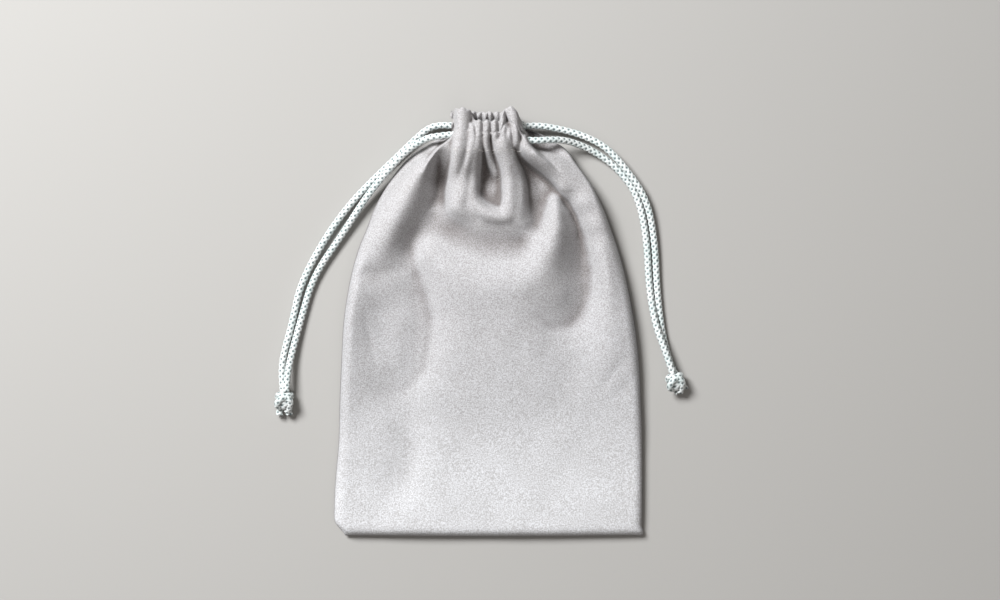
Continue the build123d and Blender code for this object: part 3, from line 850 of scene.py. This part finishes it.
LEFT_FRONT_ROUTE = [
    (-12.0, 72.6, 10.6), (-15.6, 72.2, 11.4), (-19.0, 71.8, 11.8), (-23.4, 71.2, 11.0), (-28.4, 69.0, 8.4),
    (-34.2, 64.6, 5.6), (-40.6, 57.6, 4.8), (-48.3, 48.2, 3.6), (-57.6, 33.8, 1.8), (-69.0, 17.4, 1.6),
    (-73.6, 1.6, 1.6), (-77.6, -13.4, 2.6), (-79.2, -22.0, 4.8), (-79.5, -28.2, 5.6),
]
LEFT_BACK_ROUTE = [
    (-12.0, 76.6, 3.2), (-15.6, 76.6, 3.2), (-19.0, 76.8, 3.0), (-23.4, 75.8, 2.8), (-28.6, 71.6, 2.1),
    (-35.4, 65.0, 1.6), (-43.8, 57.0, 1.5), (-54.2, 46.4, 1.6), (-64.4, 32.6, 1.5), (-74.4, 14.0, 1.5),
    (-77.4, -1.0, 1.5), (-81.2, -14.6, 1.7), (-81.6, -22.4, 2.2), (-80.9, -28.2, 2.5),
]
RIGHT_FRONT_ROUTE = [
    (12.0, 70.4, 10.6), (15.6, 70.2, 11.4), (19.0, 70.0, 11.6), (23.8, 70.4, 10.6), (29.4, 70.6, 8.0),
    (36.0, 69.0, 4.4), (43.4, 65.6, 2.0), (51.6, 59.4, 1.5), (59.2, 49.0, 1.5), (62.6, 32.0, 1.5),
    (63.4, 13.0, 1.6), (65.8, -2.0, 3.6), (69.6, -12.0, 4.9), (72.6, -21.2, 5.4),
]
RIGHT_BACK_ROUTE = [
    (12.0, 76.2, 3.2), (15.6, 76.4, 3.8), (19.0, 76.5, 4.2), (24.0, 76.0, 3.8), (31.0, 74.6, 3.2),
    (38.8, 72.2, 3.2), (46.6, 68.0, 3.6), (54.2, 59.6, 4.0), (62.6, 47.6, 3.2), (65.8, 31.0, 1.8),
    (66.6, 12.0, 1.5), (68.4, -4.0, 1.5), (70.6, -13.0, 1.7), (73.2, -21.6, 2.6),
]


def route_line(name, points):
    """Close points along the smooth line that the route's points control, in metres."""
    data = new_curve(name + "_route", "NURBS", [points])
    data.resolution_u = 24
    spline = data.splines[0]
    spline.order_u = 3
    spline.use_endpoint_u = True
    mesh = curve_to_mesh(data)
    line = np.array([vertex.co for vertex in mesh.vertices])
    bpy.data.meshes.remove(mesh)
    return line


def even_points(line, spacing):
    """The same line as evenly spaced points, with the distance along it at each."""
    steps = np.linalg.norm(np.diff(line, axis=0), axis=1)
    travel = np.concatenate([[0], np.cumsum(steps)])
    count = max(8, int(round(travel[-1] / spacing)))
    marks = np.linspace(0, travel[-1], count + 1)
    points = np.stack([np.interp(marks, travel, line[:, axis]) for axis in range(3)], axis=-1)
    return points, marks


def frames_along(points):
    """Two side directions at each point, turning as little as they can."""
    tangents = np.gradient(points, axis=0)
    tangents /= np.linalg.norm(tangents, axis=1)[:, None]
    side = np.cross(tangents[0], (0.0, 0.0, 1.0))
    sides = []
    for tangent in tangents:
        side = side - tangent * (side @ tangent)
        side /= np.linalg.norm(side)
        sides.append(side)
    sides = np.array(sides)
    return sides, np.cross(tangents, sides)


def braid(turn, travel):
    """The knitted surface: relief from 0, in a gap, to 1, on a yarn; and how deep in a gap it is, which sets
    the shade painted into the cord's colour.
    """
    column = turn * BRAID_COLUMNS
    row = travel / (BRAID_PITCH / 2)
    first = (row + column) / 2
    second = (row - column) / 2
    first_yarn = np.sin(math.pi * first) ** 2
    second_yarn = np.sin(math.pi * second) ** 2
    first_over = (np.floor(first) + np.floor(second)) % 2
    relief = np.maximum(first_yarn * (1 - UNDER_SHARE + UNDER_SHARE * first_over),
                        second_yarn * (1 - UNDER_SHARE * first_over))
    gap = np.clip(1.3 - relief / 0.46, 0, 1)
    return relief, gap


def open_end(points, radius, around, angle, start):
    """A cut end: how far its rim stands out, two rings inside it, and the inner one's centre."""
    forward = (points[-1] - points[-2]) / np.linalg.norm(points[-1] - points[-2])
    ragged = 0.28 * np.sin(5 * angle + start) + 0.22 * np.sin(11 * angle + 2 * start)
    inner = points[-1] + 0.62 * radius * MM * around - 0.15 * MM * forward
    deep = points[-1] + 0.45 * radius * MM * around - 1.3 * MM * forward
    return ragged[:, None] * MM * forward, [inner, deep], points[-1:] - 1.3 * MM * forward


def tube_faces(rings):
    """The faces between rings of points, and those that join each end ring to its centre."""
    index = np.arange(rings * RING_POINTS).reshape(rings, RING_POINTS)
    following = np.roll(index, -1, axis=1)
    faces = np.stack([index[:-1], following[:-1], following[1:], index[1:]], axis=-1).reshape(-1, 4).tolist()
    first_centre = rings * RING_POINTS
    for a, b in zip(index[0].tolist(), following[0].tolist()):
        faces.append((first_centre, b, a))
    for a, b in zip(index[-1].tolist(), following[-1].tolist()):
        faces.append((first_centre + 1, a, b))
    return faces


def tube_mesh(name, line, radius_at, material, start_travel=0.0, hollow=False):
    """A knitted tube along a line in metres. radius_at gives its radius in mm along it, from 0 to 1.

    It is closed at both ends, and a hollow one has its last end open and ragged, with shade painted dark
    inside it.
    """
    points, travel = even_points(line, RING_SPACING * MM)
    sides, ups = frames_along(points)
    turn = np.arange(RING_POINTS) / RING_POINTS
    angle = 2 * math.pi * turn
    relief, gap = braid(turn[None, :], travel[:, None] / MM + start_travel)
    radius = radius_at(travel / travel[-1])[:, None]
    reach = (radius - BRAID_RELIEF * (1 - relief)) * MM
    around = np.cos(angle)[None, :, None] * sides[:, None, :]
    around += np.sin(angle)[None, :, None] * ups[:, None, :]
    skin = points[:, None, :] + reach[:, :, None] * around
    centre = points[-1:]
    if hollow:
        ragged, inside, centre = open_end(points, radius[-1], around[-1], angle, start_travel)
        skin[-1] += ragged
        skin = np.concatenate([skin, inside])
        # painted shade inside the open end
        gap = np.concatenate([gap, np.full((1, RING_POINTS), 0.7), np.ones((1, RING_POINTS))])
    mesh = bpy.data.meshes.new(name)
    places = np.vstack([skin.reshape(-1, 3), points[:1], centre])
    mesh.from_pydata(places.tolist(), [], tube_faces(len(skin)))
    shade_smooth(mesh)
    # the gap value, which the cord's colour paints dark as shade
    shade = mesh.attributes.new("gap", "FLOAT", "POINT")
    shade.data.foreach_set("value", np.append(gap.reshape(-1), [0.6, 1.0]).astype(np.float32))
    mesh.materials.append(material)
    return mesh, points, travel[-1]


def joined(name, meshes):
    """One object from several meshes of the same material."""
    parts = [linked(name + "_part", mesh) for mesh in meshes]
    with bpy.context.temp_override(active_object=parts[0], selected_editable_objects=parts):
        bpy.ops.object.join()
    parts[0].name = name
    return parts[0]


def full_radius(share):
    return np.full(share.shape, CORD_RADIUS)


def knot_cord_radius(share):
    return np.full(share.shape, KNOT_CORD_RADIUS)


def core_radius(share):
    """A knot's core swells from its ends to its middle."""
    return 0.5 + 2.3 * np.sqrt(np.sin(math.pi * np.clip(share, 0.02, 0.98)))


def end_radius(share):
    return END_RADIUS + END_FLARE * share ** 2


# The cords' hidden runs through the casings, and round the far side of the neck.
LEFT_LOOP_ROUTE = [
    (-13.0, 73.8, 10.6), (-6.0, 74.2, 9.2), (0.0, 74.2, 9.0), (8.0, 74.2, 9.2), (12.0, 74.4, 9.6),
    (13.4, 75.4, 8.2), (13.4, 77.0, 5.0), (12.0, 78.0, 3.2), (8.0, 78.1, 3.0), (0.0, 78.1, 3.0),
    (-6.0, 78.1, 3.0), (-13.0, 77.6, 3.1),
]
RIGHT_LOOP_ROUTE = [
    (13.0, 71.2, 10.6), (6.0, 70.8, 9.2), (0.0, 70.6, 9.0), (-8.0, 70.6, 9.2), (-12.0, 70.8, 9.6),
    (-13.2, 71.8, 8.2), (-13.2, 73.4, 5.0), (-12.0, 74.4, 3.2), (-8.0, 74.5, 3.0), (0.0, 74.5, 3.0),
    (6.0, 74.6, 3.0), (13.0, 76.2, 3.1),
]

# An overhand knot: from where the cord comes in, through the middle, round twice, and out at the foot.
KNOT_ROUTE = [
    (0.4, 5.6, -0.6), (0.8, 2.6, -0.3), (0.4, 0.2, 0.2), (-0.9, -2.0, -0.4), (-2.7, -2.5, 0.5),
    (-2.9, -0.6, 2.2), (-0.4, 1.2, 2.9), (2.4, 2.2, 1.2), (2.7, 1.2, -1.7), (0.2, -0.4, -2.6),
    (-2.6, 0.6, -1.6), (-2.3, 2.6, 1.0), (0.4, 1.8, 2.4), (2.6, -0.2, 1.9), (1.8, -2.4, 0.6),
    (0.6, -4.6, -0.8),
]


def knot_object(name, centre, turn, material):
    """The knot, at a centre in mm, turned about +Z, over a core that fills its middle."""
    cosine = math.cos(turn)
    sine = math.sin(turn)

    def place(point):
        x, y, z = point
        return centre[0] + x * cosine - y * sine, centre[1] + x * sine + y * cosine, centre[2] + z

    wrap = route_line(name, [place(point) for point in KNOT_ROUTE])
    core = route_line(name + "_core", [place((0.0, y, 0.0)) for y in (3.6, 1.2, -1.2, -3.6)])
    wrap_mesh, _, _ = tube_mesh(name, wrap, knot_cord_radius, material)
    core_mesh, _, _ = tube_mesh(name + "_core", core, core_radius, material, 0.4)
    return joined(name, [wrap_mesh, core_mesh])


def cut_ends(name, ends, material):
    """Short ends standing out of a knot, each from a start in mm along a direction."""
    meshes = []
    for number, (start, direction, length) in enumerate(ends):
        start = np.array(start)
        direction = np.array(direction) / np.linalg.norm(direction)
        stops = [start + direction * length * share for share in (0.0, 0.35, 0.7, 1.0)]
        line = route_line(name, [tuple(stop) for stop in stops])
        mesh, _, _ = tube_mesh(name, line, end_radius, material, 0.7 * number, True)
        meshes.append(mesh)
    return joined(name, meshes)


# ======== Making everything ========

make_camera()
make_world()
make_light("key", (-0.52, 0.54, 0.80), (0.0, 0.0, 0.0), 0.45, 24.0, (0.97, 0.985, 1.0))
make_light("fill", (0.15, -0.45, 0.9), (0.0, -0.05, 0.0), 0.9, 1.6, (1.0, 0.97, 0.94))
make_floor()
bpy.context.scene.view_settings.view_transform = "Standard"

velour = velour_material("velour", (0.66, 0.665, 0.685), (0.41, 0.40, 0.40))
white_cord = cord_material()
thread = thread_material()

front_points = front_grid()
back_points = back_grid()
front = cloth_object("front_cloth", front_points, velour, -1)
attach(front, "pouch")
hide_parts("front_panel", "front_casing")

back = cloth_object("back_cloth", back_points, velour, 1)
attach(back, "pouch")
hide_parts("back_panel", "back_casing")

for name, points, side in (("front", front_points[:FRONT_ROWS], 1), ("back", back_points[:BACK_ROWS], -1)):
    row = casing_stitches(name + "_stitches", points, side, thread)
    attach(row, "pouch")
    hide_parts(name + "_casing_stitches")

fibres = loose_fibres(front_points[:FRONT_ROWS], thread)
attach(fibres, "pouch")

for side in ("left", "right", "bottom"):
    for node, material in ((side + "_seam_allowance", velour), (side + "_seam_thread", thread)):
        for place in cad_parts[node].material_slots:
            place.material = material

for side, route in (("left", LEFT_LOOP_ROUTE), ("right", RIGHT_LOOP_ROUTE)):
    mesh, _, _ = tube_mesh(side + "_casing_cord", route_line(side + "_loop", route), full_radius, white_cord)
    loop = linked(side + "_casing_cord", mesh)
    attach(loop, side + "_drawcord")
    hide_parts(side + "_drawcord_loop")

knots = {
    "left": knot_object("left_knot_wraps", (-80.2, -31.6, 4.0), math.radians(4), white_cord),
    "right": knot_object("right_knot_wraps", (73.7, -24.2, 4.0), math.radians(16), white_cord),
}
ends = {
    "left": cut_ends("left_cut_ends", [((-82.0, -33.0, 2.2), (-0.1, -1, 0), 4.4),
                                       ((-78.8, -33.2, 2.4), (0.05, -1, 0), 4.1)], white_cord),
    "right": cut_ends("right_cut_ends", [((73.4, -24.8, 2.0), (0.35, -1, 0), 4.4),
                                         ((76.0, -23.4, 2.4), (0.4, -1, 0), 4.2)], white_cord),
}
for side in ("left", "right"):
    for piece, node in ((knots[side], "_knot"), (ends[side], "_cord_ends")):
        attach(piece, side + "_tail")
        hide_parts(side + node)

STRANDS = [
    ("left_front", LEFT_FRONT_ROUTE, "left", 0.0),
    ("left_back", LEFT_BACK_ROUTE, "left", 0.6),
    ("right_front", RIGHT_FRONT_ROUTE, "right", 0.3),
    ("right_back", RIGHT_BACK_ROUTE, "right", 0.9),
]
for name, route, side, offset in STRANDS:
    line = route_line(name, route)
    mesh, path, length = tube_mesh(name + "_cord", line, full_radius, white_cord, offset)
    cord = linked(name + "_cord", mesh)
    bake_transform(cord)
    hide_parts(name + "_strand")
